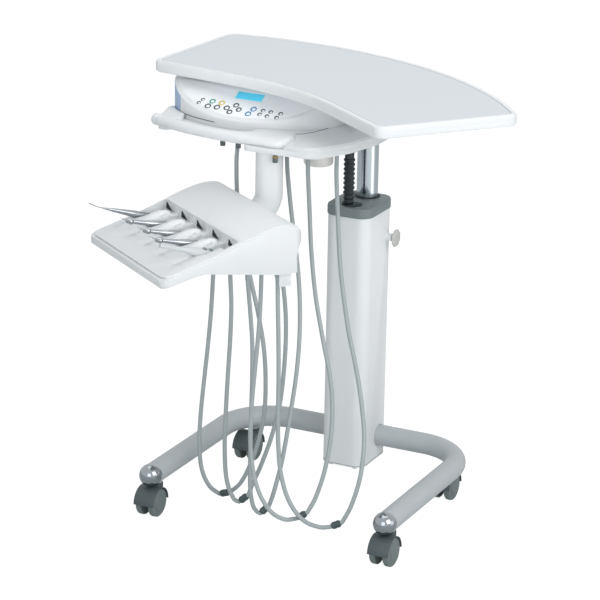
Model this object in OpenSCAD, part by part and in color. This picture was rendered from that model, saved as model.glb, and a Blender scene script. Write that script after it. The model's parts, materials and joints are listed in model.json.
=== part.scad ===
// Portable dental unit: a castor base, a height-adjustable head with its
// control console, a swivelling table top and a side-arm instrument holder.
// Frame: +X along the base crossbar, the legs and the user are toward -Y,
// +Z up, millimetres. Every module is drawn about the crossbar centre and
// then moved by the plan offset, so the origin is under the middle.

/* [Base] */
// Distance between the two leg axes
base_w = 532; // [480:2:600]
// Distance from the crossbar axis to the centres of the end balls
base_l = 436; // [380:2:480]
// Diameter of the base tube
tube_d = 45; // [38:1:50]
// Wall of the base tube
tube_wall = 2.5; // [1.5:0.5:4]
// Bend radius of the base tube, on its axis
bend_r = 110; // [80:2:140]
// Height of the base tube's axis
tube_z = 88; // [84:1:96]
// Diameter of the end balls
ball_d = 48; // [44:1:54]

/* [Castors] */
// Wheel diameter
wheel_d = 60; // [50:1:66]
// Width of one wheel
wheel_w = 15; // [11:1:17]
// Width over both wheels
castor_w = 46; // [42:1:52]
// Trail from the swivel stem to the axle
trail = 27; // [20:1:32]
// Stem diameter
stem_d = 10; // [8:1:12]

/* [Column] */
// Column width across
col_w = 100; // [92:2:112]
// Column depth front to back
col_d = 130; // [122:2:140]
// Corner radius of the column
col_r = 26; // [20:1:34]
// Column wall
col_wall = 3; // [2:0.5:4]
// Column centre in front of the crossbar axis
col_fwd = 20; // [16:1:24]
// Lower end of the column
col_z0 = 40; // [36:1:44]
// Height of the column cap's top
cap_z = 611; // [580:1:640]
// Thickness of the cap
cap_t = 20; // [16:1:26]
// Mast diameter
mast_d = 45; // [40:1:46]
// Mast wall
mast_wall = 2.5; // [2:0.5:4]
// Mast axis behind the crossbar axis
mast_y = 18; // [14:1:20]
// Diameter of the conduit hole in the cap
port_d = 44; // [38:1:46]
// Port axis in front of the crossbar axis
port_fwd = 56; // [54:1:58]
// Height of the lock knob's axis
lock_z = 528; // [480:1:560]
// Diameter of the lock knob
lock_d = 39; // [32:1:46]

/* [Head] */
// Underside of the head, below the table's rim
head_below = 115; // [110:1:120]
// Thickness of the base pan
pan_t = 12; // [8:1:14]
// Height of the rear cover above the pan
cover_t = 10; // [6:1:14]
// Console width
console_w = 386; // [370:2:400]
// Console depth
console_d = 240; // [228:2:250]
// Height of the console's flat top above the head's underside
console_h = 81; // [74:1:84]
// Slope of the console's face
face_slope = 30; // [26:1:34]
// Diameter of the handle bar
bar_d = 24; // [20:1:26]

/* [Table] */
// Height of the table's rim
table_z = 880; // [872:1:900]
// Thickness of the table
table_t = 24; // [20:1:28]
// Table turn about the mast, as it stands
table_turn = -22.3; // [-30:0.1:0]
// Half width of the front edge
table_front = 347; // [320:1:370]
// Radius of the rear edge
table_rear_r = 831; // [780:1:900]
// Rear edge behind the mast, at the middle
table_back = 118; // [100:1:140]
// Front edge's apex ahead of the mast
table_fwd = 210; // [190:1:230]
// Slant of each half of the front edge
table_slant = 14.5; // [10:0.5:18]
// Slant of the two ends
end_slant = 17.7; // [12:0.1:24]
// Width of the raised rim
rim_w = 11; // [8:1:16]
// Depth of the inlay's recess
rim_h = 2.5; // [1.5:0.5:4]

/* [Instrument holder] */
// Holder width
hold_w = 348; // [340:2:370]
// Holder turn about the vertical
hold_turn = -35.5; // [-45:0.5:-25]
// Holder's front edge, below the table's rim
hold_below = 280; // [270:1:290]
// Pitch of the instrument troughs
trough_pitch = 70; // [64:1:72]
// Instrument pitch, tip up
tool_tilt = 13; // [8:1:18]
// Diameter of a handpiece
tool_d = 15; // [12:1:17]
// Diameter of the side arm
arm_d = 56; // [48:1:60]
// Bend radius of the side arm
arm_bend = 45; // [40:1:50]

/* [Hoses] */
// Hose diameter
hose_d = 9; // [6:0.5:10]
// Coupler diameter
coupler_d = 15; // [12:1:18]
// Coupler length
coupler_l = 20; // [16:1:26]
// Conduit outer diameter
conduit_d = 24; // [20:1:26]
// Rib pitch of the conduit
rib_pitch = 10; // [8:0.5:12]

/* [Fits] */
// Running clearance on the diameter
run_fit = 0.1; // [0.05:0.05:0.2]
// Gap between neighbouring pieces
seam = 0.4; // [0.3:0.1:0.6]

/* [Hidden] */
$fn = 48;

head_z = table_z - head_below;
console_z = head_z + console_h;
hold_z = table_z - hold_below;

white = "#f1f2f1";
pale = "#d9dfe3";
grey = "#8d9290";
dark = "#2b2e2f";
chrome = "#c4c9cb";

// ---- shared outline functions ----
function unit(v) = v / norm(v);

// Arc that rounds the corner p1 between its neighbours p0 and p2
function corner(p0, p1, p2, r, n) =
    let (a = unit(p0 - p1), b = unit(p2 - p1), half = acos(a * b) / 2,
        s = p1 + a * r / tan(half), c = p1 + unit(a + b) * r / sin(half),
        e = p1 + b * r / tan(half),
        a0 = atan2(s[1] - c[1], s[0] - c[0]),
        a1 = atan2(e[1] - c[1], e[0] - c[0]),
        turn = (a1 - a0) > 180 ? a1 - a0 - 360 : (a1 - a0) < -180 ? a1 - a0 + 360 : a1 - a0)
    [for (i = [0:n]) c + r * [cos(a0 + turn * i / n), sin(a0 + turn * i / n)]];

// Polygon with rounded corners: each point is [x, y, radius]
function rounded(pts, n = 6) = let (m = len(pts))
    [for (i = [0:m - 1]) let (p = pts[i], q = [p[0], p[1]],
            before = pts[(i + m - 1) % m], after = pts[(i + 1) % m])
        each p[2] == 0 ? [q]
            : corner([before[0], before[1]], q, [after[0], after[1]], p[2], n)];

function ellipse_pts(cx, cy, a, b, n = 72) =
    [for (i = [0:n - 1]) [cx + a * cos(i * 360 / n), cy + b * sin(i * 360 / n)]];

// Rounded rectangle as exact circles and squares
module slab(w, d, r) {
    square([w - 2 * r, d], center = true);
    square([w, d - 2 * r], center = true);
    for (sx = [-1, 1], sy = [-1, 1])
        translate([sx * (w / 2 - r), sy * (d / 2 - r)]) circle(r);
}

module placed() translate([-plan_x, -plan_y, 0]) children();

// ---- base ----
leg_x = base_w / 2;
tube_r = tube_d / 2;
ball_seat = sqrt(pow(ball_d / 2, 2) - pow(tube_r, 2));
bend_c = leg_x - bend_r;
// Swivel stems: behind the end balls, and under the middle of each bend
stem_front_y = -base_l + trail + 1;
stem_rear_x = bend_c + bend_r * sqrt(0.5);
stem_rear_y = -bend_r + bend_r * sqrt(0.5);
stem_z = wheel_d + 3;

module base_outline(r) {
    rotate([0, 90, 0]) cylinder(h = 2 * bend_c, r = r, center = true);
    for (s = [-1, 1]) {
        translate([s * leg_x, -bend_r, 0]) rotate([90, 0, 0])
            cylinder(h = base_l - ball_seat - bend_r, r = r);
        translate([s * bend_c, -bend_r, 0]) rotate([0, 0, s > 0 ? 0 : 90])
            rotate_extrude(angle = 90) translate([bend_r, 0]) circle(r);
    }
}

module stem_places() {
    for (s = [-1, 1]) {
        translate([s * leg_x, stem_front_y, 0]) children();
        translate([s * stem_rear_x, stem_rear_y, 0]) children();
    }
}

module base_tube() {
    color(white) placed() difference() {
        union() {
            difference() {
                translate([0, 0, tube_z]) base_outline(tube_r);
                translate([0, 0, tube_z]) base_outline(tube_r - tube_wall);
            }
            stem_places() translate([0, 0, stem_z]) cylinder(h = tube_z - stem_z, d = stem_d + 10);
        }
        stem_places() translate([0, 0, stem_z - 1]) cylinder(h = tube_z - stem_z + 2, d = stem_d + run_fit);
    }
}

module ball_caps() {
    plug_r = tube_r - tube_wall - run_fit / 2;
    plug_l = 8;
    color(chrome) placed() for (s = [-1, 1]) translate([s * leg_x, -base_l, tube_z]) {
        intersection() {
            sphere(d = ball_d);
            translate([0, ball_seat - ball_d, 0]) cube(2 * ball_d, center = true);
        }
        rotate([-90, 0, 0]) translate([0, 0, ball_seat]) cylinder(h = plug_l, r = plug_r);
    }
}

// ---- column ----
col_y = -col_fwd;
shell_top = cap_z - cap_t;
pipe_gap = 1;
guide_z = 400;
guide_t = 20;
bush_d = mast_d + 7;
boss_d = 24;
knob_x = col_w / 2 + 12;
pad_d = 18;
pad_t = 7;
screw_d = 8;
plate_t = 3;

module column_shell() {
    lock_x0 = mast_d / 2 + 1;
    color(white) placed() difference() {
        union() {
            translate([0, col_y, col_z0]) linear_extrude(shell_top - col_z0) difference() {
                slab(col_w, col_d, col_r);
                slab(col_w - 2 * col_wall, col_d - 2 * col_wall, col_r - col_wall);
            }
            translate([lock_x0, mast_y, lock_z]) rotate([0, 90, 0])
                cylinder(h = col_w / 2 - col_wall / 2 - lock_x0, d = boss_d);
            translate([col_w / 2 - col_wall / 2, mast_y, lock_z]) rotate([0, 90, 0])
                cylinder(h = knob_x - 1 - col_w / 2 + col_wall / 2, d = boss_d - 8);
        }
        translate([0, 0, tube_z]) rotate([0, 90, 0])
            cylinder(h = col_w + 2, d = tube_d + 2 * pipe_gap, center = true);
        translate([lock_x0 - 1, mast_y, lock_z]) rotate([0, 90, 0]) cylinder(h = pad_t + 3, d = pad_d + run_fit);
        translate([lock_x0, mast_y, lock_z]) rotate([0, 90, 0]) cylinder(h = col_w, d = screw_d + run_fit);
    }
}

module column_cap() {
    lip = 2;
    skirt = 8;
    color(grey) placed() difference() {
        translate([0, col_y, 0]) {
            translate([0, 0, shell_top]) linear_extrude(cap_t - 3)
                slab(col_w + 2 * lip, col_d + 2 * lip, col_r + lip);
            translate([0, 0, cap_z - 3]) linear_extrude(3) slab(col_w + lip, col_d + lip, col_r + lip / 2);
            translate([0, 0, shell_top - skirt]) linear_extrude(skirt)
                slab(col_w - 2 * col_wall - run_fit, col_d - 2 * col_wall - run_fit, col_r - col_wall);
        }
        translate([0, mast_y, shell_top - skirt - 1]) cylinder(h = skirt + cap_t + 2, d = bush_d);
        translate([0, -port_fwd, shell_top - skirt - 1]) cylinder(h = skirt + cap_t + 2, d = port_d);
    }
}

module upper_bush() {
    color(dark) placed() translate([0, mast_y, shell_top]) difference() {
        union() {
            cylinder(h = cap_t, d = bush_d);
            translate([0, 0, cap_t]) cylinder(h = 2, d = bush_d + 2);
        }
        translate([0, 0, -1]) cylinder(h = cap_t + 4, d = mast_d + run_fit);
    }
}

module lower_bush() {
    color(pale) placed() difference() {
        translate([0, col_y, guide_z]) linear_extrude(guide_t)
            slab(col_w - 2 * col_wall - run_fit, col_d - 2 * col_wall - run_fit, col_r - col_wall);
        translate([0, mast_y, guide_z - 1]) cylinder(h = guide_t + 2, d = mast_d + run_fit);
        translate([0, -port_fwd, guide_z - 1]) cylinder(h = guide_t + 2, d = conduit_d + 8);
    }
}

module bottom_plate() {
    saddle_w = 60;
    saddle_d = 70;
    color(white) placed() difference() {
        union() {
            translate([0, col_y, col_z0 - plate_t]) linear_extrude(plate_t) slab(col_w, col_d, col_r);
            translate([-saddle_w / 2, -saddle_d / 2, col_z0]) cube([saddle_w, saddle_d, tube_z - col_z0 - 4]);
        }
        translate([0, 0, tube_z]) rotate([0, 90, 0]) cylinder(h = col_w, r = tube_r, center = true);
    }
}

module base_bolts() {
    head_r = 7;
    color(chrome) placed() for (x = [-27, 27], y = [col_y - 50, col_y + 50])
        translate([x, y, col_z0 - plate_t - 5]) cylinder(h = 5, r = head_r, $fn = 6);
}

module lock_pad() {
    color(dark) placed() translate([mast_d / 2 + 0.3, mast_y, lock_z]) rotate([0, 90, 0])
        cylinder(h = pad_t, d = pad_d);
}

module lock_knob() {
    lobes = 8;
    disc_t = 14;
    color(pale) placed() translate([0, mast_y, lock_z]) rotate([0, 90, 0]) {
        translate([0, 0, mast_d / 2 + pad_t + 0.5]) cylinder(h = knob_x, d = screw_d);
        difference() {
            union() {
                translate([0, 0, knob_x]) cylinder(h = disc_t - 3, d = lock_d);
                translate([0, 0, knob_x + disc_t - 3]) cylinder(h = 3, d1 = lock_d, d2 = lock_d - 6);
            }
            for (i = [0:lobes - 1]) rotate([0, 0, i * 360 / lobes]) translate([lock_d / 2 + 3, 0, knob_x - 1])
                cylinder(h = disc_t + 2, r = 5.5);
        }
    }
}

// ---- lift: mast, conduit and head ----
mast_bottom = 235;
hub_d = 84;
hub_top = table_z - table_t - seam;
pan_top = head_z + pan_t;
mast_top = pan_top + 25;
pivot_d = 30;
conduit_bottom = 446;
collar_l = 41;

module mast_tube() {
    color(chrome) placed() translate([0, mast_y, mast_bottom]) difference() {
        cylinder(h = mast_top - mast_bottom, d = mast_d);
        translate([0, 0, -1]) cylinder(h = mast_top - mast_bottom + 2, d = mast_d - 2 * mast_wall);
    }
}

// Corrugated conduit: straight ends, and a rib every pitch between them
module conduit() {
    top = head_z - collar_l + 12;
    r_out = conduit_d / 2;
    r_root = r_out - 2.2;
    r_bore = r_root - 1.3;
    end_l = conduit_d;
    count = floor((top - conduit_bottom - 2 * end_l) / rib_pitch);
    first = conduit_bottom + end_l;
    wave = [for (i = [0:count - 1]) let (z = first + i * rib_pitch)
        each [[r_root, z], [r_root, z + rib_pitch * 0.3], [r_out, z + rib_pitch * 0.45],
            [r_out, z + rib_pitch * 0.8], [r_root, z + rib_pitch * 0.95]]];
    color(dark) placed() translate([-8, -port_fwd, 0]) rotate_extrude()
        polygon(concat([[r_bore, conduit_bottom], [r_root, conduit_bottom]], wave,
            [[r_root, top], [r_bore, top]]));
    echo("least gap between conduit ribs", rib_pitch * 0.5);
}

module conduit_collar() {
    color(dark) placed() translate([-8, -port_fwd, head_z - collar_l]) difference() {
        union() {
            cylinder(h = 20, d = conduit_d + 6);
            translate([0, 0, 20]) cylinder(h = collar_l - 20, d = conduit_d + 12);
        }
        translate([0, 0, -1]) cylinder(h = 13, d = conduit_d - 4.4 + run_fit);
    }
}

// Plan outline of the head's base pan
pan_pts = rounded([[44, 66, 40], [84, 20, 50], [84, -120, 60], [64, -206, 60],
    [20, -288, 40], [-134, -292, 12], [-152, -215, 12], [-338, -214, 12], [-342, -232, 6],
    [-364, -232, 12], [-398, -120, 60], [-392, -30, 60], [-310, 42, 60], [-200, 66, 60]]);
console_x = -203;
console_y = -81;
face_z = console_z - 18;
face_y = -146.5;
arm_x = -96;
arm_y = -249;
spigot_d = 30;

module under_pan() {
    color(white) placed() difference() {
        translate([0, 0, head_z]) linear_extrude(pan_t) polygon(pan_pts);
        translate([0, mast_y, head_z - 1]) cylinder(h = pan_t + 2, d = mast_d + run_fit);
        translate([arm_x, arm_y, head_z - 1]) cylinder(h = pan_t + 2, d = spigot_d + run_fit);
    }
}

module head_hub() {
    color(pale) placed() difference() {
        union() {
            translate([0, mast_y, pan_top]) cylinder(h = hub_top - pan_top, d = hub_d);
            translate([0, mast_y, hub_top]) cylinder(h = 12, d = pivot_d);
        }
        translate([0, mast_y, pan_top - 1]) cylinder(h = mast_top - pan_top + 2, d = mast_d + run_fit);
    }
}

// Half space under the sloping face, raised by h along its normal
module under_face(h) {
    translate([console_x, face_y, face_z]) rotate([face_slope, 0, 0])
        translate([-500, -500, h - 500]) cube([1000, 1000, 500]);
}

module console_cover() {
    foot = ellipse_pts(console_x, console_y, console_w / 2, console_d / 2);
    color(white) placed() intersection() {
        translate([0, 0, pan_top]) linear_extrude(console_z - pan_top) polygon(foot);
        under_face(0);
    }
}

// Clear overlay on the sloping face: an oval in plan, cut off at the console's top edge
panel_t = 1.2;
panel_edge = 9;
lcd_w = 61;
lcd_h = 20.5;
lcd_x = -199;
module face_place(x, v) translate([x, face_y, face_z]) rotate([face_slope, 0, 0]) translate([0, v, 0]) children();

module control_panel() {
    foot = ellipse_pts(console_x, console_y, console_w / 2 - panel_edge, console_d / 2 - panel_edge);
    color(pale) placed() difference() {
        intersection() {
            translate([0, 0, pan_top]) linear_extrude(console_z - pan_top) polygon(foot);
            under_face(panel_t);
        }
        under_face(0);
        face_place(lcd_x, lcd_h / 2) cube([lcd_w, lcd_h, 10], center = true);
    }
}

module display() {
    color("#5fc4de") placed() face_place(lcd_x, lcd_h / 2) translate([0, 0, 0.8])
        cube([lcd_w - seam, lcd_h - seam, 1.6], center = true);
}

// Domed keys: [x from the console centre, distance down the slope, diameter]
key_spots = [[-70, -18, 14], [-48, -19, 14], [-74, -33, 14], [-53, -33, 14], [-31, -31, 14],
    [-14, -20, 13], [-3, -31, 13], [-20, -41, 13], [28, -24, 14], [22, -39, 14],
    [-93, -17, 9], [-98, -27, 9], [50, -24, 10], [68, -25, 10], [91, -26, 10],
    [47, -36, 10], [65, -38, 10], [87, -38, 10]];
module panel_keys() {
    color(pale) placed() for (k = key_spots)
        face_place(console_x + k[0], k[1]) translate([0, 0, panel_t]) {
            cylinder(h = 0.8, d = k[2]);
            translate([0, 0, 0.8]) cylinder(h = 0.8, d1 = k[2] - 2, d2 = k[2] - 4);
        }
}

lobe_pts = rounded([[-150, -262, 6], [-146, -292, 10], [-60, -301, 16], [-40, -286, 14],
    [-52, -214, 22], [-100, -208, 20], [-146, -226, 12]]);

module rear_cover() {
    color(white) placed() difference() {
        translate([0, 0, pan_top]) {
            linear_extrude(cover_t - 3) polygon(pan_pts);
            translate([0, 0, cover_t - 3]) linear_extrude(3) offset(delta = -3) polygon(pan_pts);
        }
        translate([0, 0, pan_top - 1]) linear_extrude(cover_t + 2) {
            polygon(ellipse_pts(console_x, console_y, console_w / 2 + seam, console_d / 2 + seam));
            offset(delta = seam) polygon(lobe_pts);
            translate([-700, -500]) square([550, 700]);
            translate([0, mast_y]) circle(d = hub_d + 2 * seam);
        }
    }
}

// Bar along the front, faired into a lobe on the pan at its right end
bar_r = bar_d / 2;
bar_c = [-138, 313.6];
bar_arc = 589;
bar_from = -112.4;
bar_to = -90.8;
bar_z = head_z + 20;
module handle() {
    color(white) placed() difference() {
        handle_form();
        translate([0, 0, head_z]) linear_extrude(pan_t) polygon(pan_pts);
    }
}

module handle_form() {
    end_p = [bar_c[0] + bar_arc * cos(bar_from), bar_c[1] + bar_arc * sin(bar_from)];
    union() {
        translate([bar_c[0], bar_c[1], bar_z]) rotate([0, 0, bar_from])
            rotate_extrude(angle = bar_to - bar_from, $fn = 180) translate([bar_arc, 0]) circle(bar_r, $fn = 32);
        translate([end_p[0], end_p[1], bar_z]) rotate([0, 0, bar_from]) difference() {
            sphere(bar_r);
            translate([0, 2 * bar_r, 0]) cube(4 * bar_r, center = true);
        }
        translate([0, 0, pan_top]) linear_extrude(bar_z + bar_r + 1 - pan_top) polygon(lobe_pts);
        translate([0, 0, pan_top]) linear_extrude(bar_z + 4 - pan_top) difference() {
            polygon(rounded([[-346, -226, 4], [-366, -230, 8], [-392, -135, 20], [-384, -118, 2],
                [-340, -150, 4], [-325, -200, 8]]));
            polygon(ellipse_pts(console_x, console_y, console_w / 2 + seam, console_d / 2 + seam));
        }
    }
}

// ---- under the head ----
outlet_y = -150;
outlet_x = [-220, -164, -106, -57, 8];
nipple_l = 16;
module hose_nipples() {
    color(grey) placed() for (x = outlet_x) translate([x, outlet_y, head_z - nipple_l]) {
        cylinder(h = 6, d1 = hose_d + 3, d2 = hose_d + 5);
        translate([0, 0, 6]) cylinder(h = nipple_l - 6, d = hose_d + 5);
    }
}

cup_d = 62;
cup_l = 74;
module filter_cup() {
    color(white) placed() translate([-73, -69, head_z - cup_l]) {
        cylinder(h = 4, d1 = cup_d - 6, d2 = cup_d);
        translate([0, 0, 4]) cylinder(h = cup_l - 4, d = cup_d);
    }
}

knob_spots = [[-234, -190, 27], [-198, -190, 27], [-156, -190, 27], [-66, -283, 17]];
module flow_knob(i) {
    p = knob_spots[i];
    color(grey) placed() translate([p[0], p[1], head_z - seam - p[2]]) difference() {
        union() {
            cylinder(h = p[2] - 6, d = 11);
            translate([0, 0, p[2] - 6]) cylinder(h = 6, d = 8);
        }
        for (a = [0:60:359]) rotate([0, 0, a]) translate([6.6, 0, -1]) cylinder(h = p[2] - 10, r = 1.6, $fn = 16);
    }
}
module flow_knob_1() flow_knob(0);
module flow_knob_2() flow_knob(1);
module flow_knob_3() flow_knob(2);
module flow_knob_4() flow_knob(3);

// ---- table ----
end_m = tan(end_slant);
front_m = tan(table_slant);
corner_y = -table_fwd - table_front * front_m;

// Outline drawn in by t from the table's edge, in the table's own directions
function table_pts(t) =
    let (apex = -table_fwd + t / cos(table_slant), fx = table_front - t / cos(end_slant),
        x1 = (fx + (apex - corner_y) * end_m) / (1 + front_m * end_m), y1 = apex - x1 * front_m,
        r = table_rear_r - t, yc = table_back - table_rear_r, k = fx + end_m * (yc - corner_y),
        u = (-k * end_m + sqrt(pow(k * end_m, 2) - (1 + end_m * end_m) * (k * k - r * r))) / (1 + end_m * end_m),
        y2 = yc + u, x2 = k + end_m * u, a = asin((x2 - 12) / r), n = 14)
    rounded(concat([[-x1, y1, 20 - t / 2], [0, apex, 600 + t], [x1, y1, 20 - t / 2], [x2, y2, 24 - t]],
        [for (i = [1:n - 1]) [r * sin(a - 2 * a * i / n), yc + r * cos(a - 2 * a * i / n), 0]],
        [[-x2, y2, 24 - t]]), 8);
module table_place() placed() translate([0, mast_y, 0]) rotate([0, 0, table_turn]) children();

module table_frame() {
    low = table_z - table_t;
    color(white) table_place() difference() {
        union() {
            translate([0, 0, low]) linear_extrude(3) polygon(table_pts(3));
            translate([0, 0, low + 3]) linear_extrude(table_t - 5) polygon(table_pts(0));
            translate([0, 0, table_z - 2]) linear_extrude(2) polygon(table_pts(1.5));
        }
        translate([0, 0, table_z - rim_h]) linear_extrude(rim_h + 1) polygon(table_pts(rim_w));
        translate([0, 0, low - 1]) cylinder(h = 14, d = pivot_d + run_fit);
    }
}

module table_inlay() {
    color(pale) table_place() translate([0, 0, table_z - rim_h])
        linear_extrude(rim_h - 0.6) polygon(table_pts(rim_w + seam));
}

// ---- side arm and instrument holder ----
// The holder's own directions: x along its width from the right end, y to the rear
arm_local = [-235, 352];
arm_z = hold_z + 28;
socket_u = 282;
module holder_place() placed() translate([arm_x, arm_y, hold_z]) rotate([0, 0, hold_turn])
    translate([-arm_local[0], -arm_local[1], 0]) children();

module side_arm() {
    top = head_z - seam;
    color(white) holder_place() translate([arm_local[0], arm_local[1], 0]) {
        translate([0, 0, arm_z - hold_z + arm_bend])
            cylinder(h = top - arm_z - arm_bend, d = arm_d);
        translate([0, 0, top - hold_z - 1]) cylinder(h = pan_t, d = spigot_d);
        translate([0, -arm_bend, arm_z - hold_z + arm_bend]) rotate([0, 90, 0])
            rotate_extrude(angle = 90) translate([arm_bend, 0]) circle(d = arm_d);
        translate([0, socket_u + seam - arm_local[1], arm_z - hold_z]) rotate([-90, 0, 0])
            cylinder(h = arm_local[1] - arm_bend - socket_u - seam, d = arm_d);
    }
}

// Smooth run through the points p, n steps between each two
function run_through(p, n) = let (m = len(p))
    [for (i = [0:m - 2], j = [0:n - 1]) let (t = j / n, a = p[max(i - 1, 0)], b = p[i], c = p[i + 1],
            d = p[min(i + 2, m - 1)])
        b + t / 2 * (c - a) + t * t / 2 * (2 * a - 5 * b + 4 * c - d)
            + t * t * t / 2 * (3 * b - a - 3 * c + d)];

trough_x = [for (k = [0:4]) 20 - hold_w + k * trough_pitch];
tool_pitch = [tool_tilt + 4, tool_tilt, tool_tilt, tool_tilt, tool_tilt + 4];
tool_r = [tool_d / 2, tool_d / 2, tool_d / 2, tool_d / 2, 9];
seat_u = 100;
seat_z = 32;
tail_u = 168;
pocket_u = 172;
duct_r = 9;
duct_bend = 40;
duct_end_u = 276;

// Along the axis of trough k: y runs from the seat towards the tail
module trough_place(k) holder_place() trough_local(k) children();
module trough_local(k) translate([trough_x[k], seat_u, seat_z]) rotate([-tool_pitch[k], 0, 0]) children();

module holder_plan(inset, from_u) polygon(rounded([[-hold_w + inset, from_u, 22], [-inset, from_u, 22],
    [-inset, 312 - inset, 26], [-hold_w + inset, 312 - inset, 26]], 8));

hump = run_through([[60, 15], [120, 33], [180, 54], [220, 67], [255, 74], [285, 73], [302, 64], [312, 46]], 4);

module holder_body() {
    lid = 2.5;
    color(white) holder_place() difference() {
        union() {
            intersection() {
                rotate([90, 0, 90]) translate([0, 0, -hold_w]) linear_extrude(hold_w)
                    polygon(concat([[4, -18], [0, -8], [2, -2]], hump, [[306, 38], [298, 28], [293, 10],
                        [295, -22], [259, -22], [92, 2], [50, -6]]));
                translate([0, 0, -40]) linear_extrude(150) holder_plan(0, 0);
            }
            intersection() {
                rotate([90, 0, 90]) translate([0, 0, -hold_w]) linear_extrude(hold_w) translate([0, lid])
                    polygon(concat([[6, 0]], hump, [[306, 46], [255, 50], [120, 14], [60, -2]]));
                translate([0, 0, -40]) linear_extrude(150) holder_plan(5, 7);
            }
        }
        intersection() {
            translate([-hold_w + 6, -50, -50]) cube([hold_w - 14, pocket_u + 50, 200]);
            for (k = [0:4]) trough_local(k) translate([0, -45, 0.2]) rotate([-81.4, 0, 0])
                cylinder(h = 125, r1 = 8, r2 = 27);
        }
        for (k = [0:4]) {
            trough_local(k) translate([0, -22, 0]) rotate([-90, 0, 0]) cylinder(h = 96, r = tool_r[k] + 0.3);
            trough_local(k) rotate([-90, 0, 0]) cylinder(h = duct_turn_y(k), r = duct_r);
            hose_well(k);
            rotate([90, 0, 0]) translate([trough_x[k], 0, -pocket_u - 14]) linear_extrude(15)
                polygon([[-9, 31], [11, 33], [-7, 48]]);
            streak(trough_x[k]);
        }
        translate([arm_local[0], socket_u, arm_z - hold_z]) rotate([-90, 0, 0]) cylinder(h = 60, d = arm_d + run_fit);
    }
}

// Distance along the axis from the seat to where duct k starts to turn down, and the height it turns to
function duct_turn_y(k) = (duct_end_u - duct_bend + duct_bend * sin(tool_pitch[k]) - seat_u) / cos(tool_pitch[k]);
function duct_end_z(k) = seat_z - duct_turn_y(k) * sin(tool_pitch[k]) - duct_bend * cos(tool_pitch[k]);

// Well in the underside in which hose k turns down
module hose_well(k) {
    front = 232;
    top = seat_z - (front - seat_u) * tan(tool_pitch[k]) + duct_r + 3;
    translate([trough_x[k], 0, -60]) linear_extrude(top + 60) {
        translate([0, front]) circle(duct_r + 1);
        translate([-duct_r - 1, front]) square([2 * duct_r + 2, duct_end_u - front]);
        translate([0, duct_end_u]) circle(duct_r + 1);
    }
}

// Shallow streak in the apron ahead of a trough: the lowest arc of a wide thin ring
module streak(x) {
    ring = 400;
    thin = 5;
    depth = 1.8;
    translate([x, 84, 24.8]) rotate([16.7, 0, 0]) translate([0, 0, ring + thin - depth]) rotate([0, 90, 0])
        rotate_extrude($fn = 180) translate([ring, 0]) circle(thin);
}

module hose_bracket() {
    strap = 22;
    strap_t = 2.5;
    x0 = -36;
    color(pale) holder_place() translate([x0, 262, -22]) difference() {
        union() {
            translate([0, 0, -strap_t]) cube([strap, 26, strap_t]);
            translate([strap - strap_t, 0, -30]) cube([strap_t, 26, 30 - strap_t]);
            translate([strap, 13, -19]) rotate([0, 90, 0]) cylinder(h = 2.5, d = 8);
        }
        translate([strap + 1.5, 12.4, -24]) cube([2, 1.2, 10]);
    }
}

// ---- instruments ----
module turned(profile) rotate([90, 0, 0]) rotate_extrude() polygon(profile);
tail_y = [for (k = [0:4]) (tail_u - seat_u) / cos(tool_pitch[k])];

module scaler() {
    color(chrome) trough_place(0) translate([0, tail_y[0], 0]) turned([[0, 0], [5.5, 0], [7.2, 2], [7.2, 16],
        [6.6, 17], [6.6, 19], [7.5, 20], [7.5, 62], [7, 80], [5.4, 104], [3.6, 128], [2.6, 138], [0, 138]]);
}

module scaler_tip() {
    curve_r = 120;
    color(chrome) trough_place(0) translate([0, tail_y[0] - 138, 0]) {
        turned([[0, 0], [2.3, 0], [1.9, 8], [1.5, 12], [0, 12]]);
        translate([0, -11.5, curve_r]) rotate([0, 90, 0])
            rotate([0, 0, -16]) rotate_extrude(angle = 16, $fn = 96) translate([curve_r, 0]) circle(0.9, $fn = 16);
    }
}

module contra_angle(k, head_u) {
    length = tail_y[k] + (seat_u - head_u) / cos(tool_pitch[k]);
    head_r = 5.5;
    color(chrome) trough_place(k) {
        translate([0, tail_y[k], 0]) turned([[0, 0], [5.5, 0], [7.2, 2], [7.2, 18], [6.5, 19], [6.5, 22],
            [7.5, 23], [7.5, 58], [6.6, 70], [5.2, length - 34], [4.4, length - 14], [3.9, length - 3],
            [0, length - 3]]);
        translate([0, tail_y[k] - length, 0]) rotate([0, 0, -140]) rotate([0, 86, 0]) {
            translate([0, 0, -5]) cylinder(h = 11, r = head_r);
            translate([0, 0, -7]) cylinder(h = 2, r1 = head_r - 1.5, r2 = head_r);
            translate([0, 0, 6]) cylinder(h = 1.5, r = 3.2);
            translate([0, 0, 7]) cylinder(h = 8, r = 1.1);
            translate([0, 0, 15]) cylinder(h = 7, r1 = 0.6, r2 = 0.5);
        }
    }
}
module handpiece_1() contra_angle(1, 52);
module handpiece_2() contra_angle(2, 57);
module handpiece_3() contra_angle(3, 50);

button_s = [44, 58];
button_d = 9;
button_depth = 6.5;
module syringe() {
    color(white) trough_place(4) translate([0, tail_y[4], 0]) difference() {
        turned([[0, 0], [6, 0], [8, 2], [8, 14], [9, 18], [9, 74], [8, 84], [5.6, 100], [4.6, 118], [4.2, 156],
            [1.6, 156], [1.6, 146], [0, 146]]);
        for (s = button_s) translate([0, -s, button_depth - 3.5]) cylinder(h = 20, d = button_d + 0.6);
    }
}

module push_button(s) {
    color(grey) trough_place(4) translate([0, tail_y[4] - s, button_depth - 0.7]) {
        cylinder(h = 4.7, d = button_d);
        translate([0, 0, 4.7]) cylinder(h = 0.8, d1 = button_d, d2 = button_d - 1.6);
    }
}
module air_button() push_button(button_s[0]);
module water_button() push_button(button_s[1]);

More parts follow.
